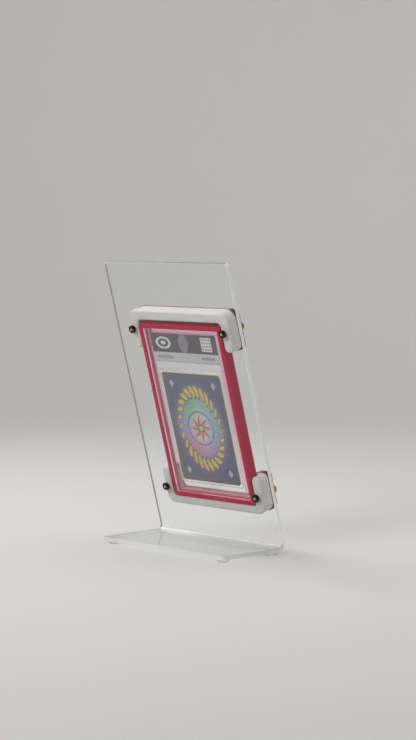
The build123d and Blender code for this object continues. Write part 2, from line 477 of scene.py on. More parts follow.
def grid_object(
    name: str, points: np.ndarray, ends: Ends, sharp_deg: float = SHARP_DEG
) -> bpy.types.Object:
    """A surface on a grid whose columns close on themselves.

    Args:
        name: the object's name.
        points: rows by columns by 3, in metres in the row's frame; going down the rows, the
            columns run so that faces look outwards.
        ends: what happens to the first and last row.
        sharp_deg: edges sharper than this stay sharp.

    Returns:
        The object, at the origin.
    """
    rows, columns, _ = points.shape
    vertices = points.reshape(-1, 3)
    first = np.arange(rows if ends is Ends.JOINED else rows - 1)
    row, column = np.meshgrid(first, np.arange(columns), indexing="ij")
    next_row, next_column = (row + 1) % rows, (column + 1) % columns
    corners = [row * columns + column, row * columns + next_column,
               next_row * columns + next_column, next_row * columns + column]
    quads = np.stack(corners, axis=-1).reshape(-1, 4)
    faces = quads.tolist()
    if ends is Ends.CAPPED:
        poles = np.stack([points[0].mean(0), points[-1].mean(0)])
        low_pole, high_pole = len(vertices), len(vertices) + 1
        vertices = np.concatenate([vertices, poles])
        around = np.arange(columns)
        onward = (around + 1) % columns
        last = (rows - 1) * columns
        faces += np.stack([np.full(columns, low_pole), onward, around], 1).tolist()
        faces += np.stack([np.full(columns, high_pole), last + around, last + onward], 1).tolist()
    mesh = bpy.data.meshes.new(name)
    mesh.from_pydata(vertices.tolist(), [], faces)
    mesh.validate()
    smooth_between_edges(mesh, sharp_deg)
    piece = bpy.data.objects.new(name, mesh)
    bpy.context.scene.collection.objects.link(piece)
    return piece


def arc(start_deg: float, end_deg: float, radius: float, steps: int) -> np.ndarray:
    """Points on a circle about zero, from one angle to another."""
    angle = np.radians(np.linspace(start_deg, end_deg, steps))
    return radius * np.stack([np.cos(angle), np.sin(angle)], 1)


def hexagon_radius(angle: np.ndarray, across_flats: float) -> np.ndarray:
    """Distance from a hexagon's middle to its edge: half the width over the cosine past a flat."""
    past_flat = np.mod(angle, TURN / 6) - TURN / 12
    return across_flats / 2 / np.cos(past_flat)


def rings(radii: list[Any], heights: list[float], angle: np.ndarray) -> np.ndarray:
    """Rings about the z axis: x is the radius times the cosine, and y the radius times the sine.

    Args:
        radii: each ring's radius, one number or one for each angle.
        heights: each ring's height.
        angle: the angles of a ring's points, in radians.

    Returns:
        Rings by points by 3.
    """
    radius = np.stack([np.broadcast_to(r, angle.shape) for r in radii])
    height = np.broadcast_to(np.array(heights)[:, None], radius.shape)
    return np.stack([radius * np.cos(angle), radius * np.sin(angle), height], axis=-1)


@dataclass(frozen=True)
class RoundedFrame:
    """The outline of a rectangle with round corners, in the panel's plane."""

    half_width: float
    half_height: float
    corner: float

    def outline(self, corner_steps: int, side_steps: int) -> tuple[np.ndarray, np.ndarray]:
        """Walks once round the outline.

        Each corner is a quarter circle and each side a straight run between two of them.

        Args:
            corner_steps: points on a corner's arc.
            side_steps: points between two corners.

        Returns:
            The points and the outward directions at them.
        """
        signs = np.array([(1, 1), (-1, 1), (-1, -1), (1, -1)], float)
        inner = np.array([self.half_width - self.corner, self.half_height - self.corner])
        anchors, normals = [], []
        for quarter, sign in enumerate(signs):
            turn = math.degrees(TURN) / 4
            direction = arc(quarter * turn, (quarter + 1) * turn, 1.0, corner_steps)
            bend = sign * inner + self.corner * direction
            following = signs[(quarter + 1) % 4] * inner + self.corner * direction[-1]
            along = np.linspace(0, 1, side_steps + 2)[1:-1, None]
            run = bend[-1] + (following - bend[-1]) * along
            anchors += [bend, run]
            normals += [direction, np.repeat(direction[-1:], side_steps, axis=0)]
        return np.concatenate(anchors), np.concatenate(normals)


def carried(frame: RoundedFrame, profile: np.ndarray, corner_steps: int, side_steps: int) -> np.ndarray:
    """A closed profile carried round a frame.

    A profile point (inset, height) lies at the outline's point less inset times its outward
    direction, raised by height.

    Args:
        frame: the outline that it follows.
        profile: points of (inset, height).
        corner_steps: points on a corner's arc.
        side_steps: points along a side.

    Returns:
        Profile points by outline points by 3.
    """
    anchor, normal = frame.outline(corner_steps, side_steps)
    inset, height = profile[:, 0], profile[:, 1]
    flat = anchor[None] - inset[:, None, None] * normal[None]
    lifted = np.broadcast_to(height[:, None, None], (*flat.shape[:2], 1))
    return np.concatenate([flat, lifted], axis=2)


def refined_copy(frame: Frame, node: str, name: str, edge_round: float) -> bpy.types.Object:
    """A merged copy of a node's mesh whose sharp edges get a fine round.

    Faces that turn by less than FLAT_DEG are joined first, so that the round meets clean edges.

    Args:
        frame: the measured model.
        node: the node to copy.
        name: the new object's name.
        edge_round: the round's width in metres.

    Returns:
        The copy, at the origin.
    """
    mesh = frame.object(node).data.copy()
    mesh.name = name
    shape = bmesh.new()
    shape.from_mesh(mesh)
    bmesh.ops.remove_doubles(shape, verts=shape.verts, dist=MERGE_REACH)
    flat_angle = math.radians(FLAT_DEG)
    bmesh.ops.dissolve_limit(shape, angle_limit=flat_angle, verts=shape.verts, edges=shape.edges)
    shape.to_mesh(mesh)
    shape.free()
    smooth_between_edges(mesh, SHARP_DEG)
    piece = bpy.data.objects.new(name, mesh)
    bpy.context.scene.collection.objects.link(piece)
    bevel = piece.modifiers.new("edge_round", "BEVEL")
    bevel.width = edge_round
    bevel.segments = ROUND_SEGMENTS
    bevel.limit_method = "ANGLE"
    bevel.angle_limit = math.radians(SHARP_DEG)
    evened = piece.modifiers.new("flat_faces_lead", "WEIGHTED_NORMAL")
    evened.keep_sharp = True
    return piece


# ------------------------------------------------------------------ finishes

@dataclass(frozen=True)
class ClearPlastic:
    """Clear sheet or moulding: bends light, and lets lamps through it."""

    name: str
    tint: Colour
    bending: float
    haze: float
    lamp_share: float
    gloss: float = 1.0

    def material(self) -> bpy.types.Material:
        """The plain clear finish."""
        graph = Graph(self.name)
        return self.end(graph, self.glass(graph, self.tint))

    def glass(self, graph: Graph, tint: Any) -> bpy.types.Node:
        """Glass for sight, with handling marks in its polish.

        Args:
            graph: the material's tree.
            tint: the colour that it lets through, or a socket.

        Returns:
            The shader's node.
        """
        marks = graph.noise(0.035, 4.0, 0.6).rise(0.52, 0.74)
        return graph.surface(
            base_color=tint,
            roughness=marks * self.haze,
            ior=self.bending,
            specular_tint=(self.gloss,) * 3,
            transmission_weight=1.0,
        )

    def end(self, graph: Graph, seen: bpy.types.Node) -> bpy.types.Material:
        """Lets lamps through what is seen, as a faint filter, and ends the tree.

        Args:
            graph: the material's tree.
            seen: the shader that all other rays meet.

        Returns:
            The material.
        """
        through = (self.lamp_share,) * 3
        filtered = graph.node("ShaderNodeBsdfTransparent", {}, {"Color": _rgba(through)})
        lamp_ray = graph.mark("ShaderNodeLightPath", {}, {}, "Is Shadow Ray")
        sockets = {0: lamp_ray, 1: seen.outputs[0], 2: filtered.outputs[0]}
        return graph.finish(graph.node("ShaderNodeMixShader", {}, sockets))


@dataclass(frozen=True)
class CutSheet(ClearPlastic):
    """Clear sheet whose sawn edges have a painted glow, and a film of dust on its base.

    The edge at the +X side has a painted shade colour, and the base's edges a duller colour, also
    painted shade. Those two and the top edge have no painted glow. Near the bend the base's film
    thickens into painted light.
    """

    panel: "Panel | None" = None
    half_width_mm: float = 0.0
    top_mm: float = 0.0
    base_end_mm: float = 0.0
    panel_corner_mm: float = 3.5
    base_corner_mm: float = 2.5
    base_top_mm: float = 6.0
    base_fade_mm: float = 1.5
    # colours of the sawn edges' frost: base_edge is painted duller and shaded_edge darker, both painted
    # shade
    edge_colour: Colour = (0.97, 0.975, 0.97)
    base_edge: Colour = (0.80, 0.80, 0.80)
    shaded_edge: Colour = (0.63, 0.55, 0.54)
    edge_depth_mm: float = 0.25
    edge_blend_mm: float = 0.05
    # strength of the painted glow on the sawn edges
    edge_glow: float = 0.08
    top_frost: float = 0.3
    # matt film on the base: dust all over, thickened near the bend as painted light
    dust_and_light_film: Colour = (0.9, 0.9, 0.89)
    dust: float = 0.10
    bend_light: float = 0.2
    bend_light_mm: tuple[float, float] = (12.0, -20.0)
    speck_dust: float = 0.25

    def material(self) -> bpy.types.Material:
        """Dusty glass with painted light, and frost with a painted glow within the outline's edge
        depth.

        The outline is two rectangles with round corners: the panel's in panel directions, up to
        its top, and the base's across and towards +Y, up to its free end.

        Returns:
            The material.
        """
        graph = Graph(self.name)
        across, up, _ = graph.local_mm(self.panel.lean, np.zeros(3))
        place = graph.node("ShaderNodeSeparateXYZ", {}, {0: graph.object_place()})
        back, height = (Mark(graph, place.outputs[axis]) / MM for axis in (1, 2))
        depth, blend = self.edge_depth_mm, self.edge_blend_mm
        over_side = abs(across) - self.half_width_mm
        panel_edge = graph.past_outline(over_side, up - self.top_mm, self.panel_corner_mm)
        base_edge = graph.past_outline(over_side, back - self.base_end_mm, self.base_corner_mm)
        on_top = up.rise(self.top_mm - depth, self.top_mm - depth + blend)
        on_base = height.rise(self.base_top_mm + self.base_fade_mm, self.base_top_mm)
        # painted shade on the +X edge, a duller painted-shade colour on the base's edges, and no
        # painted glow there or on the top
        shaded = across.rise(self.half_width_mm - 2 * depth, self.half_width_mm - depth)
        sawn = panel_edge.high(base_edge).rise(-depth, -depth + blend)
        colour = graph.mix(on_base, self.edge_colour, self.base_edge)
        dim = shaded.high(on_top).high(on_base)
        # frost of the sawn edges, with a painted glow
        frost = graph.surface(
            base_color=graph.mix(shaded, colour, self.shaded_edge),
            roughness=0.35,
            ior=self.bending,
            transmission_weight=0.25,
            emission_color=graph.mix(dim, (1.0, 1.0, 1.0), (0.0, 0.0, 0.0)),
            emission_strength=self.edge_glow,
        )
        frosted = sawn * (1 - (1 - self.top_frost) * on_top)
        dust_and_light = self._dust_and_painted_light(graph, on_base, back)
        sockets = {0: frosted, 1: dust_and_light.outputs[0], 2: frost.outputs[0]}
        return self.end(graph, graph.node("ShaderNodeMixShader", {}, sockets))

    def _dust_and_painted_light(self, graph: Graph, on_base: Mark, back: Mark) -> bpy.types.Node:
        """Glass under a film of dust and specks, thickened towards the bend as painted light over the
        shade.

        Args:
            graph: the material's tree.
            on_base: 1 on the base and 0 above it.
            back: millimetres towards +Y.

        Returns:
            The mixed shader's node.
        """
        specks = graph.noise(0.0016, 5.0, 0.75).rise(0.60, 0.74)
        smear = graph.noise(0.03, 3.0, 0.6)
        # painted light: the film thickens towards the bend, lifting the shade there
        near_bend = back.rise(*self.bend_light_mm)
        dust_and_light_film = self.dust * (0.5 + smear) + self.bend_light * near_bend + self.speck_dust * specks
        matt = graph.node("ShaderNodeBsdfDiffuse", {}, {"Color": _rgba(self.dust_and_light_film)})
        glass = self.glass(graph, self.tint)
        sockets = {0: on_base * dust_and_light_film, 1: glass.outputs[0], 2: matt.outputs[0]}
        return graph.node("ShaderNodeMixShader", {}, sockets)


@dataclass(frozen=True)
class SlabMoulding(ClearPlastic):
    """The slab's clear shell, whose welded rim is tinted pink as painted light from the bumper's red.
    """

    panel: "Panel | None" = None
    middle: tuple[float, float, float] = (0.0, 0.0, 0.0)
    half_width_mm: float = 0.0
    half_height_mm: float = 0.0
    # pink painted on the rim, standing in for the bumper's red light
    rim_red_bounce: Colour = (0.96, 0.74, 0.825)
    rim_mm: float = 7.2
    rim_fade_mm: float = 3.0
    weld_inset_mm: float = 1.9
    weld_half_mm: float = 0.35
    wall_mm: tuple[float, float] = (0.45, 0.15)
    # painted red light on the outer wall: a pink tint and a glow
    wall_red_bounce: Colour = (0.97, 0.885, 0.92)
    wall_light: Colour = (1.0, 0.48, 0.56)
    wall_glow: float = 0.15

    def material(self) -> bpy.types.Material:
        """Glass tinted pink from the rim's inner border outwards, as painted red light, with a clear
        weld line.

        The outer wall, the last fraction of a millimetre, has a painted pink tint and a painted glow
        for the light that it gathers.

        Returns:
            The material.
        """
        graph = Graph(self.name)
        across, up, _ = graph.local_mm(self.panel.lean, np.array(self.middle))
        from_edge = (self.half_width_mm - abs(across)).low(self.half_height_mm - abs(up))
        # painted red light: pink towards the outer edge, cleared on the weld line
        red_bounce = from_edge.rise(self.rim_mm, self.rim_mm - self.rim_fade_mm)
        weld = (abs(from_edge - self.weld_inset_mm) - self.weld_half_mm).rise(0.3, -0.3)
        glass = self.glass(graph, graph.mix(red_bounce * (1 - 0.8 * weld), self.tint, self.rim_red_bounce))
        # the outer wall: painted pink and painted glow
        wall = graph.surface(
            base_color=self.wall_red_bounce,
            roughness=0.1,
            ior=self.bending,
            transmission_weight=1.0,
            emission_color=self.wall_light,
            emission_strength=self.wall_glow,
        )
        sockets = {0: from_edge.rise(*self.wall_mm), 1: glass.outputs[0], 2: wall.outputs[0]}
        return self.end(graph, graph.node("ShaderNodeMixShader", {}, sockets))


@dataclass(frozen=True)
class SatinPlastic:
    """Opaque moulded plastic with a fine even grain."""

    name: str
    colour: Colour
    shade: Colour
    roughness: float

    def material(self) -> bpy.types.Material:
        """Slow colour drift, a ripple of about 2 mm in colour and height, and a fine grain.

        Returns:
            The material.
        """
        graph = Graph(self.name)
        drift = graph.noise(0.02, 2.0).rise(0.3, 0.7)
        grain = graph.noise(0.0006, 2.0, 0.6)
        ripple = graph.noise(0.0019, 2.0, 0.5)
        shader = graph.surface(
            base_color=graph.mix(0.5 * drift + 0.5 * ripple.rise(0.35, 0.65), self.colour, self.shade),
            roughness=self.roughness - 0.06 + 0.12 * grain,
            normal=graph.bump(ripple + 0.3 * grain, 0.0001, 0.8),
            specular_ior_level=0.35,
            subsurface_weight=0.15,
            subsurface_radius=(1.0, 0.9, 0.8),
            subsurface_scale=0.0015,
        )
        return graph.finish(shader)


@dataclass(frozen=True)
class SoftRubber:
    """Satin silicone: deep colour, little gloss and a very fine tooth."""

    name: str
    colour: Colour
    deep: Colour

    def material(self) -> bpy.types.Material:
        """Colour that sinks a little in patches, with lint-sized tooth in the bump.

        Returns:
            The material.
        """
        graph = Graph(self.name)
        patch = graph.noise(0.012, 3.0).rise(0.35, 0.75)
        tooth = graph.noise(0.0004, 2.0, 0.7)
        shader = graph.surface(
            base_color=graph.mix(patch, self.colour, self.deep),
            roughness=0.46 + 0.14 * tooth,
            normal=graph.bump(tooth, 0.000015, 0.5),
            specular_ior_level=0.12,
        )
        return graph.finish(shader)


@dataclass(frozen=True)
class BareMetal:
    """Plated or blackened steel, worn in specks."""

    name: str
    colour: Colour
    worn: Colour
    metallic: float
    roughness: float

    def material(self) -> bpy.types.Material:
        """Plating that thins in specks, which also dull its gloss.

        Returns:
            The material.
        """
        graph = Graph(self.name)
        specks = graph.noise(0.0011, 4.0, 0.65).rise(0.58, 0.78)
        shader = graph.surface(
            base_color=self.colouring(graph, specks),
            metallic=self.metallic,
            roughness=self.roughness + 0.15 * specks,
        )
        return graph.finish(shader)

    def colouring(self, graph: Graph, specks: Mark) -> bpy.types.NodeSocket:
        """The plating, worn in its specks."""
        return graph.mix(specks, self.colour, self.worn)


@dataclass(frozen=True)
class GiltSteel(BareMetal):
    """Gold-plated steel: deep gold on the head and thread, and a painted highlight of pale brass on the
    end.
    """

    # sawn: pale brass painted on the flat end as a highlight
    sawn: Colour = (0.64, 0.52, 0.23)
    end_highlight_mm: float = 0.15
    lean: float = 0.0
    middle: tuple[float, float, float] = (0.0, 0.0, 0.0)
    half_length_mm: float = 0.0

    def colouring(self, graph: Graph, specks: Mark) -> bpy.types.NodeSocket:
        """The worn plating, and a painted highlight on the flat at the end of the thread.

        Args:
            graph: the material's tree.
            specks: 1 where the plating is worn.

        Returns:
            The colour's socket.
        """
        depth = graph.local_mm(self.lean, np.array(self.middle))[2]
        # painted highlight on the flat end of the thread
        at_end = depth.rise(self.end_highlight_mm - self.half_length_mm, self.end_highlight_mm / 2 - self.half_length_mm)
        return graph.mix(at_end, super().colouring(graph, specks), self.sawn)


@dataclass(frozen=True)
class MirrorAcrylic:
    """Tinted acrylic with a mirror behind it: bright on its face, dark wine along its edge, with
    painted light and shade.

    Distances in millimetres are from the plate's outer faces.
    """

    name: str
    face: Colour
    edge_dark: Colour
    edge_bright: Colour
    edge_top_highlight: Colour
    lean: float
    middle: tuple[float, float, float]
    half_mm: tuple[float, float, float]
    face_mm: tuple[float, float] = (-0.16, -0.06)
    leg_mm: tuple[float, float] = (-9.0, -4.0)
    crest_mm: tuple[float, float] = (-1.0, -0.4)

    def material(self) -> bpy.types.Material:
        """Painted light runs the edge from wine at its back to gold in front; the face is a mirror.

        Painted shade keeps the corners wine, and the top edge between the legs is a pale painted
        highlight.

        Returns:
            The material.
        """
        graph = Graph(self.name)
        across, up, depth = graph.local_mm(self.lean, np.array(self.middle))
        half_width, half_height, half_depth = self.half_mm
        front = (depth - half_depth).rise(*self.face_mm)
        over_leg = (abs(across) - half_width).rise(*self.leg_mm)
        # painted shade: the plate's corners stay wine
        corner = over_leg * (abs(up) - half_height).rise(*self.leg_mm)
        # painted highlight along the top edge
        crest = (up - half_height).rise(*self.crest_mm) * (1 - over_leg)
        # painted light along the edge, patchy, brightest in front
        glow = graph.noise(0.007, 2.0).rise(0.42, 0.62)
        lit = (depth / half_depth).rise(-0.4, 0.6) * (0.6 + 0.4 * glow) * (1 - corner)
        edge = graph.mix(crest, graph.mix(lit, self.edge_dark, self.edge_bright), self.edge_top_highlight)
        rub = graph.noise(0.004, 4.0, 0.7).rise(0.55, 0.8)
        shader = graph.surface(
            base_color=graph.mix(front, edge, self.face),
            metallic=0.7 + 0.3 * front,
            roughness=0.22 - 0.14 * front + 0.08 * rub,
            coat_weight=0.05 + 0.55 * front,
            coat_roughness=0.05,
        )
        return graph.finish(shader)


@dataclass(frozen=True)
class PaperStock:
    """What a printed piece is printed on and how it is varnished."""

    core: Colour
    gloss: float


class CardPrint:
    """The print on the trading card: a star in a wreath behind, a little landscape in front."""

    OLIVE: Colour = (0.085, 0.063, 0.040)
    NAVY: Colour = (0.012, 0.030, 0.160)
    VIOLET: Colour = (0.055, 0.040, 0.160)
    PALE: Colour = (0.74, 0.73, 0.76)
    CORAL: Colour = (0.55, 0.12, 0.07)
    AMBER: Colour = (0.80, 0.42, 0.20)
    YELLOW: Colour = (0.82, 0.62, 0.06)
    STEEL: Colour = (0.55, 0.60, 0.62)
    SLATE: Colour = (0.05, 0.05, 0.09)
    BACK_BORDER = 3.1
    FRONT_BORDER = 4.2

    def __init__(self, frame: Frame, stock: PaperStock) -> None:
        """Measures the card that the print goes on.

        Args:
            frame: the measured model.
            stock: the card's core and varnish.
        """
        self.panel = frame.panel
        self.middle = frame.middle("card")
        low, high = frame.reach("card")
        self.half = (high - low) / 2 / MM
        self.stock = stock

    def material(self) -> bpy.types.Material:
        """Back print, front print and the pale core between them.

        Returns:
            The material.
        """
        graph = Graph("card_print")
        across, up, depth = graph.local_mm(self.panel.lean, self.middle)
        faces_front = depth.rise(-0.02, 0.02)
        sides = (abs(depth) - float(self.half[2])).rise(-0.03, -0.01)
        printed = graph.mix(faces_front, self._back(graph, across, up), self._front(graph, across, up))
        shader = graph.surface(
            base_color=graph.mix(1 - sides, printed, self.stock.core),
            roughness=self.stock.gloss + 0.1 * graph.noise(0.003),
            coat_weight=0.35,
            coat_roughness=0.12,
        )
        return graph.finish(shader)

    def _inside(self, across: Mark, up: Mark, border: float, soft: float = 0.15) -> Mark:
        """Tells the field from the border round it.

        Args:
            across: millimetres across the card from its middle.
            up: millimetres up the card from its middle.
            border: the border's width in millimetres.
            soft: half the width of the blend between them.

        Returns:
            1 in the field and 0 in the border.
        """
        over_x = abs(across) - (float(self.half[0]) - border)
        over_y = abs(up) - (float(self.half[1]) - border)
        return over_x.high(over_y).rise(soft, -soft)

    def _back(self, graph: Graph, across: Mark, up: Mark) -> bpy.types.NodeSocket:
        """Olive border, navy field, pale glow with tinted lobes, star, wreath and corner lozenges.

        The glow's reach is the distance from the middle over an ellipse's, so that it is 1 on it.

        Args:
            graph: the material's tree.
            across: millimetres across the card from its middle.
            up: millimetres up the card from its middle.

        Returns:
            The print's colour.
        """
        cloud = graph.noise(0.009, 4.0, 0.6).rise(0.38, 0.66)
        field_colour = graph.mix(cloud, self.NAVY, self.VIOLET)
        glow_across, glow_up = across / 20.0, up / 27.0
        reach = (glow_across * glow_across + glow_up * glow_up).root()
        angle = up.angle_over(across) / TURN + 0.5
        lobes = [
            (0.00, (0.30, 0.55, 0.76)), (0.17, (0.52, 0.34, 0.62)), (0.34, (0.68, 0.24, 0.36)),
            (0.50, (0.40, 0.42, 0.74)), (0.67, (0.20, 0.54, 0.30)), (0.84, (0.40, 0.60, 0.56)),
            (1.00, (0.30, 0.55, 0.76)),
        ]
        tint = graph.node("ShaderNodeValToRGB", {"stops": lobes}, {0: angle}).outputs[0]
        wisp = graph.noise(0.006, 3.0, 0.6)
        glow_colour = graph.mix((reach + 0.25 * wisp).rise(0.35, 0.95), self.PALE, tint)
        print_colour = graph.mix((reach + 0.45 * wisp).rise(1.75, 0.95), field_colour, glow_colour)
        print_colour = self._star(graph, across, up, print_colour)
        print_colour = self._wreath(graph, across, up, print_colour)
        lozenge_across, lozenge_up = 22.6, 35.2
        from_x, from_y = abs(abs(across) - lozenge_across), abs(abs(up) - lozenge_up)
        lozenge = (from_x / 2.7 + from_y / 3.5).rise(1.08, 0.9)
        print_colour = graph.mix(0.85 * lozenge, print_colour, self.STEEL)
        return graph.mix(self._inside(across, up, self.BACK_BORDER), self.OLIVE, print_colour)

    def _star(self, graph: Graph, across: Mark, up: Mark, under: Any) -> bpy.types.NodeSocket:
        """An eight-pointed star with a warm and a gold half to each point, in a slate ring.

        From a tip to the notch beside it the star's edge is a straight line: the reach times
        (tip sine a + notch sine (b - a)) is there tip times notch times sine b, where a is the
        angle from the tip and b the whole angle between the two.

        Args:
            graph: the material's tree.
            across: millimetres across the card from its middle.
            up: millimetres up the card from its middle.
            under: the colour that it lies on.

        Returns:
            The colour with the star on it.
        """
        reach = (across * across + up * up).root()
        eighth = up.angle_over(across) * (8 / TURN) + 8.5
        tip, notch, between = 12.2, 5.4, TURN / 16
        from_tip = abs(eighth.share() - 0.5) * (TURN / 8)
        slant = tip * from_tip.sine() + notch * (between - from_tip).sine()
        star = (reach * slant / (tip * math.sin(between)) - notch).rise(0.2, -0.2)
        warm_half = eighth.share().rise(0.47, 0.53)
        ring_reach, eye_reach, eye_ring_reach = 13.4, 2.3, 2.7
        ring = (abs(reach - ring_reach) - 0.55).rise(0.2, -0.2)
        eye = (reach - eye_reach).rise(0.2, -0.2)
        eye_ring = (abs(reach - eye_ring_reach) - 0.4).rise(0.15, -0.15)
        colour = graph.mix(0.8 * ring, under, self.SLATE)
        colour = graph.mix(star, colour, graph.mix(warm_half, self.CORAL, self.AMBER))
        colour = graph.mix(eye, colour, (0.60, 0.62, 0.64))
        return graph.mix(eye_ring, colour, (0.05, 0.05, 0.08))

    def _wreath(self, graph: Graph, across: Mark, up: Mark, under: Any) -> bpy.types.NodeSocket:
        """A ring of slanted yellow leaves on an ellipse, fuller above and below than beside.

        The angle is cut into as many shares as there are leaves, and the reach from the middle
        shifts them, which slants each leaf. In its share a leaf is an ellipse again.

        Args:
            graph: the material's tree.
            across: millimetres across the card from its middle.
            up: millimetres up the card from its middle.
            under: the colour that it lies on.

        Returns:
            The colour with the leaves on it.
        """
        leaves, slant, start = 26, 2.4, 40
        side, rise = across / 21.5, up / 30.0
        reach = (side * side + rise * rise).root()
        angle = rise.angle_over(side)
        leaf_turn = (angle * (leaves / TURN) + reach * slant + start).share() - 0.5
        fullness = 0.55 + 0.45 * abs(angle.sine())
        narrow, tall = leaf_turn / 0.40, (reach - 1) / 0.17
        body = (narrow * narrow + tall * tall).root() / fullness
        colour = graph.mix(0.85 * body.rise(1.35, 1.15), under, (0.012, 0.016, 0.06))
        return graph.mix(body.rise(1.05, 0.9), colour, self.YELLOW)

    def _front(self, graph: Graph, across: Mark, up: Mark) -> bpy.types.NodeSocket:
        """Sand border, a picture window of hills under a sun, and a pale panel with plain bars.

        Each ridge is a level plus sine waves across the card.

        Args:
            graph: the material's tree.
            across: millimetres across the card from its middle.
            up: millimetres up the card from its middle.

        Returns:
            The print's colour.
        """
        sky = graph.mix(up.rise(2.0, 34.0), (0.72, 0.45, 0.22), (0.10, 0.26, 0.55))
        sun_across, sun_up, sun_radius = 9, 20, 6
        from_x, from_y = across - sun_across, up - sun_up
        sun = ((from_x * from_x + from_y * from_y).root() - sun_radius).rise(0.6, -0.6)
        sky = graph.mix(sun, sky, (0.85, 0.66, 0.30))
        far_ridge = up - 12 - (across * 0.21 + 1.0).sine() * 3.2 - (across * 0.07).sine() * 3
        near_ridge = up - 5 - (across * 0.16 - 1.4).sine() * 2.8
        hills = graph.mix(far_ridge.rise(0.2, -0.2), sky, (0.06, 0.15, 0.22))
        hills = graph.mix(near_ridge.rise(0.2, -0.2), hills, (0.05, 0.17, 0.07))
        panel = graph.mix(graph.noise(0.004), (0.60, 0.58, 0.52), (0.68, 0.66, 0.60))
        line_step = 5.2
        line = abs((up / line_step).share() - 0.5).rise(0.20, 0.12)
        lines = line * abs(across).rise(23.5, 23.0) * up.rise(-36.5, -36.0) * up.rise(-7.0, -7.5)
        panel = graph.mix(0.7 * lines, panel, (0.16, 0.15, 0.16))
        content = graph.mix(up.rise(-0.1, 0.1), panel, hills)
        divider = (abs(up) - 0.8).rise(0.15, -0.15)
        content = graph.mix(divider, content, (0.42, 0.30, 0.10))
        return graph.mix(self._inside(across, up, self.FRONT_BORDER), (0.50, 0.38, 0.12), content)


class LabelPrint:
    """The slab's paper label: a dark band with plain emblems over a pale strip."""

    BAND: Colour = (0.006, 0.000, 0.010)
    WEAVE: Colour = (0.038, 0.015, 0.046)
    STRIP: Colour = (0.71, 0.71, 0.73)
    WHITE: Colour = (0.92, 0.91, 0.92)
    STRIP_SHARE = 0.335
    EMBLEMS_UP = 3.8
    BARS_UP = -7.4

    def __init__(self, frame: Frame) -> None:
        """Measures the label.

        Args:
            frame: the measured model.
        """
        self.panel = frame.panel
        self.middle = frame.middle("label")
        low, high = frame.reach("label")
        self.half = (high - low) / 2 / MM

    def material(self) -> bpy.types.Material:
        """Printed on both sides; the emblems lie the same way round on each.

        Returns:
            The material.
        """
        graph = Graph("label_print")
        across, up, _ = graph.local_mm(self.panel.lean, self.middle)
        strip_top = -float(self.half[1]) * (1 - 2 * self.STRIP_SHARE)
        band = (up - strip_top).rise(-0.12, 0.12)
        weave = graph.noise(0.0011, 3.0, 0.7).rise(0.38, 0.62)
        dark = graph.mix(weave, self.BAND, self.WEAVE)
        dark = self._emblems(graph, across, up - self.EMBLEMS_UP, dark)
        strip = self._bars(graph, across, up - self.BARS_UP)
        shader = graph.surface(
            base_color=graph.mix(band, strip, dark),
            roughness=0.42,
            coat_weight=0.2,
            coat_roughness=0.2,
        )
        return graph.finish(shader)

    def _emblems(self, graph: Graph, across: Mark, up: Mark, under: Any) -> bpy.types.NodeSocket:
        """A white double ring, a foil lens in the middle and a white patch of plain squares.

        Args:
            graph: the material's tree.
            across: millimetres across the label from its middle.
            up: millimetres up the label from the emblems' line.
            under: the colour that they lie on.

        Returns:
            The colour with the emblems on it.
        """
        ring_x = (across - 22.5) / 1.7
        reach = (ring_x * ring_x + up * up).root()
        double_ring = (abs(reach - 4.1) - 0.75).rise(0.2, -0.2).high((reach - 1.6).rise(0.2, -0.2))
        colour = graph.mix(double_ring, under, self.WHITE)
        lens_x = abs(across - 0.5)
        lens = (lens_x * 0.78 + abs(up) * 0.5).high(lens_x).rise(5.4, 5.0)
        foil = graph.mix(graph.noise(0.0022, 4.0, 0.7), (0.18, 0.17, 0.25), (0.42, 0.41, 0.48))
        colour = graph.mix(0.9 * lens, colour, foil)
        patch_x = across + 24.2
        patch_reach = abs(patch_x).high(abs(up))
        step = 2.6
        squares = abs((patch_x / step).share() - 0.5).high(abs((up / step).share() - 0.5))
        grid = squares.rise(0.32, 0.26) * patch_reach.rise(4.8, 4.6)
        colour = graph.mix(patch_reach.rise(5.7, 5.4), colour, self.WHITE)
        return graph.mix(0.8 * grid, colour, (0.10, 0.10, 0.12))

    def _bars(self, graph: Graph, across: Mark, up: Mark) -> bpy.types.NodeSocket:
        """The pale strip with a short row of plain dashes near each end.

        Args:
            graph: the material's tree.
            across: millimetres across the label from its middle.
            up: millimetres up the label from the dashes' line.

        Returns:
            The strip's colour.
        """
        step = 2.4
        dash = abs((across / step).share() - 0.5).rise(0.36, 0.30)
        height = abs(up).rise(1.35, 1.1)
        left = abs(across - 22.5).rise(8.5, 8.2)
        right = abs(across + 23.5).rise(7.0, 6.7)
        return graph.mix(0.85 * dash * height * left.high(right), self.STRIP, (0.16, 0.16, 0.18))


# ------------------------------------------------------------------ sub-assemblies

class Level(Enum):
    """Which of the two clamps a piece belongs to."""

    UPPER = "upper"
    LOWER = "lower"


class Side(Enum):
    """Left or right, seen from the front."""

    LEFT = "left"
    RIGHT = "right"


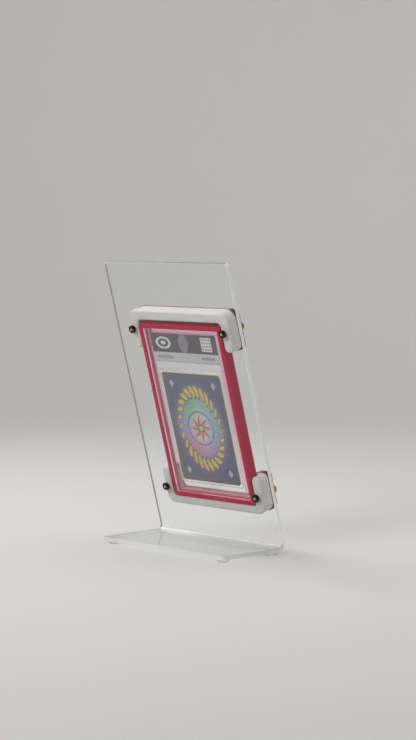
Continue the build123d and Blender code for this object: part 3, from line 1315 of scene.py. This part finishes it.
@dataclass
class Stand:
    """The bent clear sheet and its four bumper feet."""

    frame: Frame
    edge_round: float = 0.3 * MM
    foot_edge_round: float = 0.25 * MM
    gloss: float = 0.3

    def build(self) -> None:
        """Dresses the sheet and the feet."""
        _, high = self.frame.reach("acrylic_stand")
        sheet = CutSheet(
            name="clear_acrylic",
            tint=(0.985, 0.992, 0.992),
            bending=1.49,
            haze=0.05,
            lamp_share=0.96,
            gloss=self.gloss,
            panel=self.frame.panel,
            half_width_mm=float(high[0] / MM),
            top_mm=float(high[1] / MM),
            base_end_mm=float(self.frame.points("acrylic_stand")[:, 1].max() / MM),
        )
        body = refined_copy(self.frame, "acrylic_stand", "stand_sheet", self.edge_round)
        self.frame.stand_in(body, "acrylic_stand", sheet.material())
        soft = ClearPlastic(
            name="clear_rubber", tint=(0.93, 0.94, 0.94), bending=1.42, haze=0.5, lamp_share=0.75
        ).material()
        for node in sorted(self.frame.bodies):
            if node.startswith("foot_"):
                foot = refined_copy(self.frame, node, f"bumper_{node}", self.foot_edge_round)
                self.frame.stand_in(foot, node, soft)


@dataclass
class Screw:
    """A fully threaded socket screw, worked out as rings about its axis."""

    frame: Frame
    node: str
    material: bpy.types.Material
    thread_radius: float = 1.5 * MM
    pitch: float = 0.5 * MM
    thread_depth: float = 0.27 * MM
    flank_steepness: float = 1.25
    crest_flat: float = 0.12
    end_chamfer: float = 0.75 * MM
    head_chamfer: tuple[float, float] = (0.25 * MM, 0.12 * MM)
    head_round: float = 0.75 * MM
    knurls: int = 24
    knurl_depth: float = 0.07 * MM
    knurl_start: float = 0.3 * MM
    knurl_end: float = 0.1 * MM
    socket_across_flats: float = 2.5 * MM
    socket_depth: float = 1.8 * MM
    socket_chamfer: float = 0.12 * MM
    drill_radius: float = 0.3 * MM
    drill_depth: float = 0.25 * MM
    columns: int = 96
    rows_per_turn: int = 6

    def build(self) -> bpy.types.Object:
        """Makes the surface and puts it on the screw's axis.

        Returns:
            The threaded piece.
        """
        low, high = self.frame.reach(self.node)
        axis = (low + high) / 2
        underside = self._underside()
        angle = np.linspace(0, TURN, self.columns, endpoint=False)
        head_radius = (high[0] - low[0]) / 2
        local = np.concatenate([
            self._shank(angle, low[2], underside),
            self._head(angle, underside, high[2], head_radius),
        ])
        local[..., :2] += axis[:2]
        piece = grid_object(f"{self.node}_threaded", self.frame.panel.place(local), ends=Ends.CAPPED)
        return self.frame.stand_in(piece, self.node, self.material)

    def _underside(self) -> float:
        """Finds where the head meets the trim plate, which is the plate's front.

        Returns:
            The height along the screw's axis.
        """
        level = self.node.split("_")[0]
        _, plate_high = self.frame.reach(f"{level}_trim_plate")
        return float(plate_high[2])

    def _shank(self, angle: np.ndarray, end: float, underside: float) -> np.ndarray:
        """Thread: radius is the crest less depth times a triangle wave of z / pitch - angle / turn.

        The wave is steepened and clipped, which leaves flats at crest and root, and a cone of 45
        degrees cuts the thread at its end.

        Args:
            angle: the angles of a ring's points, in radians.
            end: height of the thread's end.
            underside: height of the head's underside.

        Returns:
            The shank's rings.
        """
        steps = int((underside - end) / self.pitch * self.rows_per_turn)
        height = np.linspace(end, underside, steps)
        phase = np.mod(height[:, None] / self.pitch - angle[None] / TURN, 1.0)
        wave = np.abs(phase - 0.5) * 2 * self.flank_steepness - self.crest_flat
        thread = self.thread_radius - self.thread_depth * np.clip(wave, 0.0, 1.0)
        cone = self.thread_radius - self.end_chamfer + (height - end)[:, None]
        return rings(list(np.minimum(thread, cone)), list(height), angle)

    def _head(self, angle: np.ndarray, base: float, top: float, full: float) -> np.ndarray:
        """Head: knurled side, a quarter round, a flat top and a hexagon socket.

        The side's radius falls by half the knurls' depth times one less the cosine of the angle
        times the number of knurls.

        Args:
            angle: the angles of a ring's points, in radians.
            base: height of the head's underside.
            top: height of its flat top.
            full: its radius at the ridges.

        Returns:
            The head's rings.
        """
        knurled = full - self.knurl_depth * (0.5 - 0.5 * np.cos(self.knurls * angle))
        shoulder = top - self.head_round
        curve = arc(0, 90, self.head_round, 7)
        hexagon = hexagon_radius(angle, self.socket_across_flats)
        floor = top - self.socket_depth
        inset, rise = self.head_chamfer
        radii = [full - inset, full, knurled, knurled]
        heights = [base, base + rise, base + self.knurl_start, shoulder - self.knurl_end]
        radii += [full - self.head_round + x for x in curve[:, 0]]
        heights += [shoulder + z for z in curve[:, 1]]
        radii += [hexagon + self.socket_chamfer, hexagon, hexagon, self.drill_radius]
        heights += [top, top - self.socket_chamfer, floor, floor - self.drill_depth]
        return rings(radii, heights, angle)


@dataclass
class Nut:
    """A hexagon nut with cone-cut corners and countersunk mouths."""

    frame: Frame
    node: str
    material: bpy.types.Material
    across_flats: float = 5.5 * MM
    bore: float = 1.55 * MM
    mouth: float = 0.25 * MM
    washer_share: float = 0.94
    cone_deg: float = 30.0
    cone_height: float = 0.42 * MM
    columns: int = 96

    def build(self) -> bpy.types.Object:
        """Makes the surface and puts it on the nut's axis.

        The outline is the lesser of the hexagon's radius and a cone's, at both ends.

        Returns:
            The nut.
        """
        low, high = self.frame.reach(self.node)
        axis = (low + high) / 2
        angle = np.linspace(0, TURN, self.columns, endpoint=False)
        hexagon = hexagon_radius(angle, self.across_flats)
        washer = self.across_flats / 2 * self.washer_share
        rise = self.cone_height * np.linspace(0.0, 1.0, 5)
        slope = math.tan(math.radians(self.cone_deg))
        cone = [np.minimum(hexagon, washer + step / slope) for step in rise]
        hole = [self.bore, self.bore + self.mouth]
        radii = [*hole, *cone, *cone[::-1], *hole[::-1]]
        bottom, top = low[2], high[2]
        lower = [bottom + self.mouth, bottom, *(bottom + rise)]
        upper = [*(top - rise[::-1]), top, top - self.mouth]
        local = rings(radii, [float(height) for height in lower + upper], angle)
        local[..., :2] += axis[:2]
        piece = grid_object(f"{self.node}_hexagon", self.frame.panel.place(local), ends=Ends.JOINED)
        return self.frame.stand_in(piece, self.node, self.material)


@dataclass
class Clamp:
    """One U-shaped bracket with its trim plate, screws and nuts."""

    frame: Frame
    level: Level
    white: bpy.types.Material
    gold: bpy.types.Material
    black: bpy.types.Material
    bracket_edge_round: float = 0.15 * MM
    trim_edge_round: float = 0.12 * MM

    def build(self) -> None:
        """Makes the bracket, the plate and the fasteners."""
        node = f"{self.level.value}_bracket"
        bracket = refined_copy(self.frame, node, f"{node}_moulded", self.bracket_edge_round)
        self.frame.stand_in(bracket, node, self.white)
        self._trim()
        for side in Side:
            Screw(self.frame, f"{self.level.value}_{side.value}_screw", self.gold).build()
            Nut(self.frame, f"{self.level.value}_{side.value}_nut", self.black).build()

    def _trim(self) -> None:
        """The rose-gold plate, mirrored on its front."""
        node = f"{self.level.value}_trim_plate"
        low, high = self.frame.reach(node)
        finish = MirrorAcrylic(
            name=f"{self.level.value}_rose_gold",
            face=(0.80, 0.43, 0.33),
            edge_dark=(0.075, 0.022, 0.03),
            edge_bright=(0.70, 0.25, 0.02),
            edge_top_highlight=(0.62, 0.36, 0.31),
            lean=self.frame.panel.lean,
            middle=tuple(self.frame.middle(node)),
            half_mm=tuple(float(size) for size in (high - low) / 2 / MM),
        )
        piece = refined_copy(self.frame, node, f"{node}_polished", self.trim_edge_round)
        self.frame.stand_in(piece, node, finish.material())


@dataclass
class CardHolder:
    """The slab with its card and label, in its soft red bumper."""

    frame: Frame
    tint: Colour = (0.985, 0.975, 0.98)
    bending: float = 1.55
    haze: float = 0.04
    lamp_share: float = 0.965
    gloss: float = 0.85
    slab_edge_round: float = 0.2 * MM
    bumper_corner: float = 3.8 * MM
    bumper_round: float = 0.6 * MM
    lip_round: float = 0.35 * MM
    lip_reach: float = 0.9 * MM
    side_gap: float = 0.1 * MM
    face_gap: float = 0.05 * MM
    side_swell: float = 0.12 * MM

    def build(self) -> None:
        """Makes the bumper and dresses the rest."""
        clear = (self.tint, self.bending, self.haze, self.lamp_share, self.gloss)
        for node in ("slab_back_shell", "slab_front_shell"):
            low, high = self.frame.reach(node)
            moulding = SlabMoulding(
                node,
                *clear,
                panel=self.frame.panel,
                middle=tuple(self.frame.middle(node)),
                half_width_mm=float(high[0] - low[0]) / 2 / MM,
                half_height_mm=float(high[1] - low[1]) / 2 / MM,
            )
            piece = refined_copy(self.frame, node, f"{node}_moulded", self.slab_edge_round)
            self.frame.stand_in(piece, node, moulding.material())
        self.frame.dress("card_well", ClearPlastic("clear_well", *clear).material())
        stock = PaperStock(core=(0.7, 0.69, 0.66), gloss=0.3)
        self.frame.dress("card", CardPrint(self.frame, stock).material())
        self.frame.dress("label", LabelPrint(self.frame).material())
        self._bumper()

    def _bumper(self) -> None:
        """The bumper: its C-shaped section carried round the slab."""
        low, high = self.frame.reach("slab_bumper")
        shell_low, _ = self.frame.reach("slab_back_shell")
        _, slab_front = self.frame.reach("slab_front_shell")
        half = (high - low) / 2
        wall = shell_low[0] - low[0] - self.side_gap
        groove_back, groove_front = shell_low[2] - self.face_gap, slab_front[2] + self.face_gap
        profile = self._section(low[2], high[2], groove_back, groove_front, wall, wall + self.lip_reach)
        outline = RoundedFrame(half[0], half[1], self.bumper_corner)
        local = carried(outline, profile, corner_steps=12, side_steps=24)
        local[..., 0] += (low[0] + high[0]) / 2
        local[..., 1] += (low[1] + high[1]) / 2
        piece = grid_object("bumper_frame", self.frame.panel.place(local), ends=Ends.JOINED)
        red = SoftRubber(
            name="red_rubber", colour=(0.54, 0.003, 0.050), deep=(0.47, 0.002, 0.040)
        ).material()
        self.frame.stand_in(piece, "slab_bumper", red)

    def _section(
        self,
        back: float,
        front: float,
        groove_back: float,
        groove_front: float,
        wall: float,
        reach: float,
    ) -> np.ndarray:
        """The section, walked from the outer face over the front, the groove and the back.

        Corners are quarter circles, and the outer face swells by a sine over its height.

        Args:
            back: height of the back face.
            front: height of the front face.
            groove_back: height where the slab's groove starts.
            groove_front: height where it ends.
            wall: depth of the groove's floor from the outer face.
            reach: depth of the lips from the outer face.

        Returns:
            Points of (inset, height).
        """
        edge, lip = self.bumper_round, self.lip_round
        share = np.linspace(0, 1, 7)
        side_height = back + edge + share * (front - back - 2 * edge)
        side = np.stack([self.side_swell * (1 - np.sin(share * math.pi)), side_height], 1)
        front_outer = arc(180, 90, edge, 6) + (edge + self.side_swell, front - edge)
        front_inner = arc(90, 0, lip, 4) + (reach - lip, front - lip)
        floor = [(wall, groove_front), (wall, groove_back)]
        groove = np.array([(reach, groove_front), *floor, (reach, groove_back)])
        back_inner = arc(0, -90, lip, 4) + (reach - lip, back + lip)
        back_outer = arc(-90, -180, edge, 6) + (edge + self.side_swell, back + edge)
        return np.concatenate([side, front_outer, front_inner, groove, back_inner, back_outer])[::-1]


# ------------------------------------------------------------------ studio

@dataclass(frozen=True)
class SoftLamp:
    """A square soft lamp that looks at a point.

    Glossy and clear faces show the lamp itself only where it is mirrored.
    """

    name: str
    place: tuple[float, float, float]
    aim: tuple[float, float, float]
    size: float
    power: float
    spread_deg: float = 180.0
    mirrored: bool = True

    def build(self) -> None:
        """Makes the lamp and turns it to its aim."""
        data = bpy.data.lights.new(self.name, "AREA")
        data.shape = "SQUARE"
        data.size = self.size
        data.energy = self.power
        data.spread = math.radians(self.spread_deg)
        lamp = bpy.data.objects.new(self.name, data)
        lamp.location = self.place
        way = Vector(self.aim) - Vector(self.place)
        lamp.rotation_euler = way.to_track_quat("-Z", "Y").to_euler()
        lamp.visible_glossy = self.mirrored
        lamp.visible_transmission = self.mirrored
        bpy.context.scene.collection.objects.link(lamp)


@dataclass
class Studio:
    """A pale floor that sweeps up all round, and four soft lamps.

    One hangs overhead, one fills from behind the stand and isn't mirrored in it, one stands at
    the side, and one washes the far wall.
    """

    floor_radius: float = 0.95
    sweep_radius: float = 1.1
    wall_height: float = 2.6
    hub_radius: float = 0.0005
    columns: int = 96
    smooth_deg: float = 80.0
    floor_colour: Colour = (0.74, 0.735, 0.725)
    overhead: SoftLamp = SoftLamp(
        "overhead", place=(0.20, -0.05, 0.95), aim=(0.20, -0.05, 0.0), size=0.7, power=0.15
    )
    fill: SoftLamp = SoftLamp(
        "fill",
        place=(-0.05, 1.70, 0.55),
        aim=(0.0, 0.0, 0.15),
        size=1.0,
        power=3.0,
        spread_deg=60.0,
        mirrored=False,
    )
    side: SoftLamp = SoftLamp(
        "side", place=(0.95, 0.10, 1.05), aim=(0.0, 0.0, 0.05), size=0.6, power=1.6, spread_deg=90.0
    )
    wash: SoftLamp = SoftLamp(
        "wash", place=(0.85, -0.75, 1.5), aim=(1.5, -1.45, 0.45), size=0.8, power=0.35, spread_deg=90.0
    )
    sky_strength: float = 0.81
    path_length: int = 24

    def build(self) -> None:
        """Makes the sweep, the lamps and the world."""
        self._sweep()
        for lamp in (self.overhead, self.fill, self.side, self.wash):
            lamp.build()
        world = bpy.data.worlds.new("studio_air")
        bpy.context.scene.world = world
        world.use_nodes = True
        background = world.node_tree.nodes["Background"]
        background.inputs["Color"].default_value = (1.0, 0.995, 0.985, 1.0)
        background.inputs["Strength"].default_value = self.sky_strength
        bpy.context.scene.view_settings.view_transform = "Standard"
        paths = bpy.context.scene.cycles
        paths.max_bounces = self.path_length
        paths.glossy_bounces = self.path_length
        paths.transmission_bounces = self.path_length

    def _sweep(self) -> None:
        """Flat floor, a quarter circle and a wall, turned about the z axis."""
        bend = arc(-90, 0, self.sweep_radius, 24) + (self.floor_radius, self.sweep_radius)
        flat = np.array([(self.hub_radius, 0.0), (self.floor_radius / 2, 0.0)])
        wall = np.array([(self.floor_radius + self.sweep_radius, self.wall_height)])
        section = np.concatenate([flat, bend, wall])
        angle = np.linspace(0, TURN, self.columns, endpoint=False)
        points = rings(list(section[:, 0]), list(section[:, 1]), angle)
        sweep = grid_object("studio_sweep", points, Ends.OPEN, sharp_deg=self.smooth_deg)
        sweep.data.materials.append(self._paper())

    def _paper(self) -> bpy.types.Material:
        """Matt studio paper.

        Returns:
            The material.
        """
        graph = Graph("studio_paper")
        shader = graph.surface(base_color=self.floor_colour, roughness=0.75)
        return graph.finish(shader)


@dataclass
class ViewPoint:
    """The camera behind and beside the stand, a little above it."""

    place: tuple[float, float, float] = (-1.075346, 1.043336, 0.240544)
    heading_deg: float = 225.512
    dip_deg: float = 3.977
    roll_deg: float = 0.137
    focal_pixels: float = 1978.39
    frame_height: float = 740.0
    film_long_side: float = 36.0

    def build(self) -> None:
        """Makes the camera and turns it by heading, dip and roll."""
        data = bpy.data.cameras.new("view")
        data.sensor_width = self.film_long_side
        data.lens = self.focal_pixels / self.frame_height * self.film_long_side
        camera = bpy.data.objects.new("view", data)
        turns = (self.heading_deg, self.dip_deg, self.roll_deg)
        heading, dip, roll = (math.radians(turn) for turn in turns)
        level = math.cos(dip)
        forward = Vector((-math.sin(heading) * level, math.cos(heading) * level, -math.sin(dip)))
        level_right = Vector((math.cos(heading), math.sin(heading), 0.0))
        level_up = level_right.cross(forward)
        right = math.cos(roll) * level_right + math.sin(roll) * level_up
        above = math.cos(roll) * level_up - math.sin(roll) * level_right
        camera.matrix_world = Matrix.LocRotScale(
            Vector(self.place),
            Matrix((right, above, -forward)).transposed().to_quaternion(),
            None,
        )
        bpy.context.scene.collection.objects.link(camera)
        bpy.context.scene.camera = camera


def main() -> None:
    """Loads the frame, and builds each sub-assembly and the studio."""
    logging.basicConfig(level=logging.INFO, format="%(message)s")
    frame = Frame(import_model())
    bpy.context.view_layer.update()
    ViewPoint().build()
    white = SatinPlastic(
        name="white_plastic",
        colour=(0.745, 0.73, 0.705),
        shade=(0.70, 0.682, 0.655),
        roughness=0.55,
    ).material()
    screw = "upper_left_screw"
    low, high = frame.reach(screw)
    gold = GiltSteel(
        name="gold_plate",
        colour=(0.41, 0.215, 0.035),
        worn=(0.28, 0.135, 0.022),
        metallic=1.0,
        roughness=0.26,
        lean=frame.panel.lean,
        middle=tuple(frame.middle(screw)),
        half_length_mm=float(high[2] - low[2]) / 2 / MM,
    ).material()
    black = BareMetal(
        name="black_oxide",
        colour=(0.012, 0.012, 0.013),
        worn=(0.05, 0.048, 0.045),
        metallic=0.6,
        roughness=0.34,
    ).material()
    Stand(frame).build()
    for level in Level:
        Clamp(frame, level, white, gold, black).build()
    CardHolder(frame).build()
    Studio().build()


if __name__ == "__main__":
    main()
